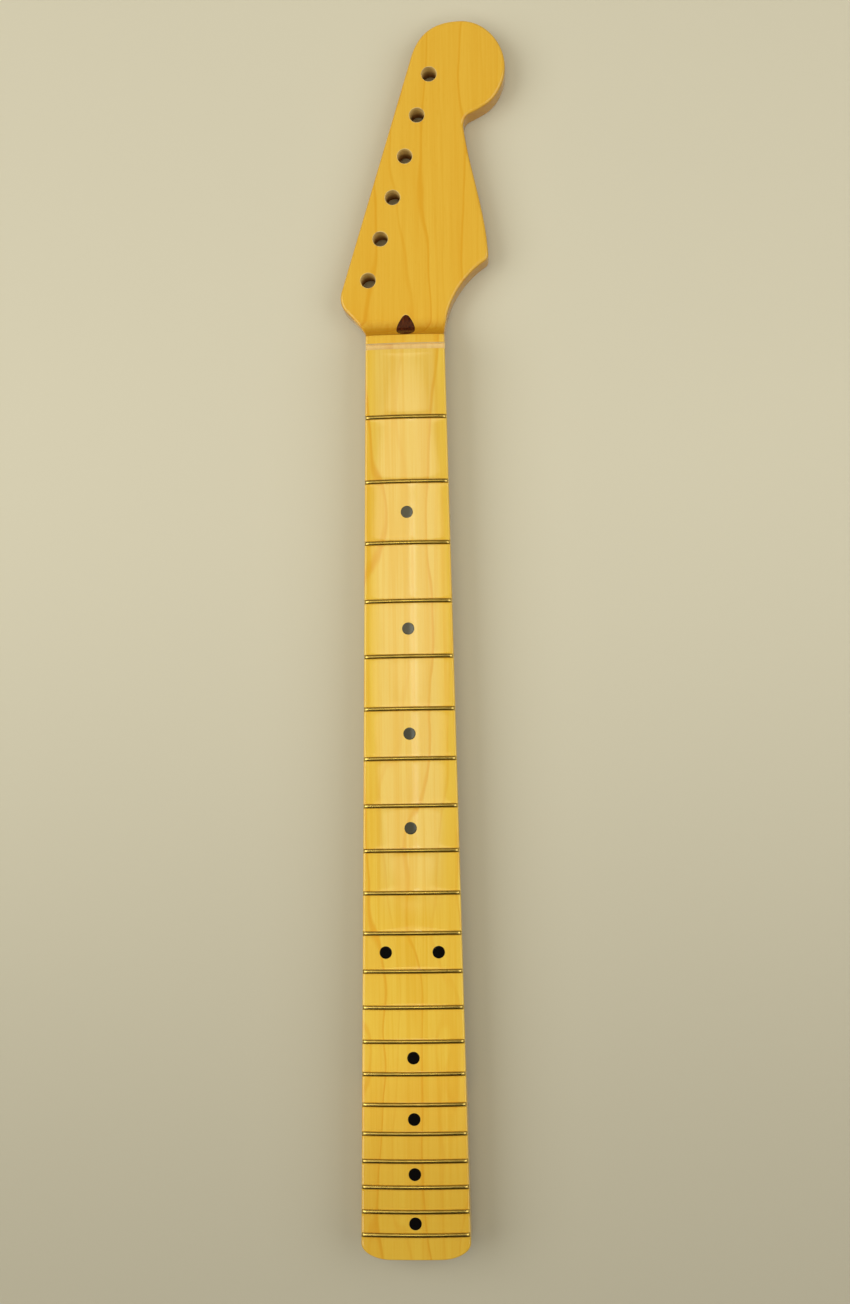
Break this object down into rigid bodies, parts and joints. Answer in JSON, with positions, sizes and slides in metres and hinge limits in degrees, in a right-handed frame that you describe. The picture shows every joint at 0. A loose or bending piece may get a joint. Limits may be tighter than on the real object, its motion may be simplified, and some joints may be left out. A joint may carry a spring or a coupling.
{
  "type": "electric guitar neck",
  "caption": "Bolt-on electric guitar neck with a one-sided headstock, empty tuner holes, a radiused fretted playing surface, inlaid dots and a truss rod adjusted at the heel.",
  "frame": {"origin": "middle of the flat back of the heel block, where the neck sits in a body's pocket", "axes": "+Y from the heel to the headstock, +Z from the back to the playing surface, +X from the bass side to the treble side"},
  "size_m": [0.0901, 0.6506, 0.0266],
  "materials": {
    "maple": "amber gloss lacquer",
    "walnut": "dark brown, under lacquer",
    "fret_wire": "polished nickel silver",
    "black_inlay": "black, flush under lacquer",
    "rod_steel": "plain drawn steel",
    "zinc_plated_steel": "zinc-plated"
  },
  "bodies": {
    "neck": {"neck_blank": "maple", "skunk_stripe": "walnut", "headstock_plug": "walnut", "truss_rod": "rod_steel", "truss_rod_anchor": "zinc_plated_steel", "truss_rod_washer": "zinc_plated_steel", "fret_01": "fret_wire", "fret_02": "fret_wire", "fret_03": "fret_wire", "fret_04": "fret_wire", "fret_05": "fret_wire", "fret_06": "fret_wire", "fret_07": "fret_wire", "fret_08": "fret_wire", "fret_09": "fret_wire", "fret_10": "fret_wire", "fret_11": "fret_wire", "fret_12": "fret_wire", "fret_13": "fret_wire", "fret_14": "fret_wire", "fret_15": "fret_wire", "fret_16": "fret_wire", "fret_17": "fret_wire", "fret_18": "fret_wire", "fret_19": "fret_wire", "fret_20": "fret_wire", "fret_21": "fret_wire", "dot_03": "black_inlay", "dot_05": "black_inlay", "dot_07": "black_inlay", "dot_09": "black_inlay", "dot_12_bass": "black_inlay", "dot_12_treble": "black_inlay", "dot_15": "black_inlay", "dot_17": "black_inlay", "dot_19": "black_inlay", "dot_21": "black_inlay", "side_dot_03": "black_inlay", "side_dot_05": "black_inlay", "side_dot_07": "black_inlay", "side_dot_09": "black_inlay", "side_dot_12_near_heel": "black_inlay", "side_dot_12_near_nut": "black_inlay", "side_dot_15": "black_inlay", "side_dot_17": "black_inlay", "side_dot_19": "black_inlay", "side_dot_21": "black_inlay"},
    "rod_nut": {"truss_rod_nut": "zinc_plated_steel"}
  },
  "joints": [
    {"name": "truss_rod_nut_turn", "type": "hinge", "parent": "neck", "child": "rod_nut", "pos_m": [0, -0.0375, 0.0159], "axis": [0, 1, 0], "range_deg": [-315, 225]}
  ]
}
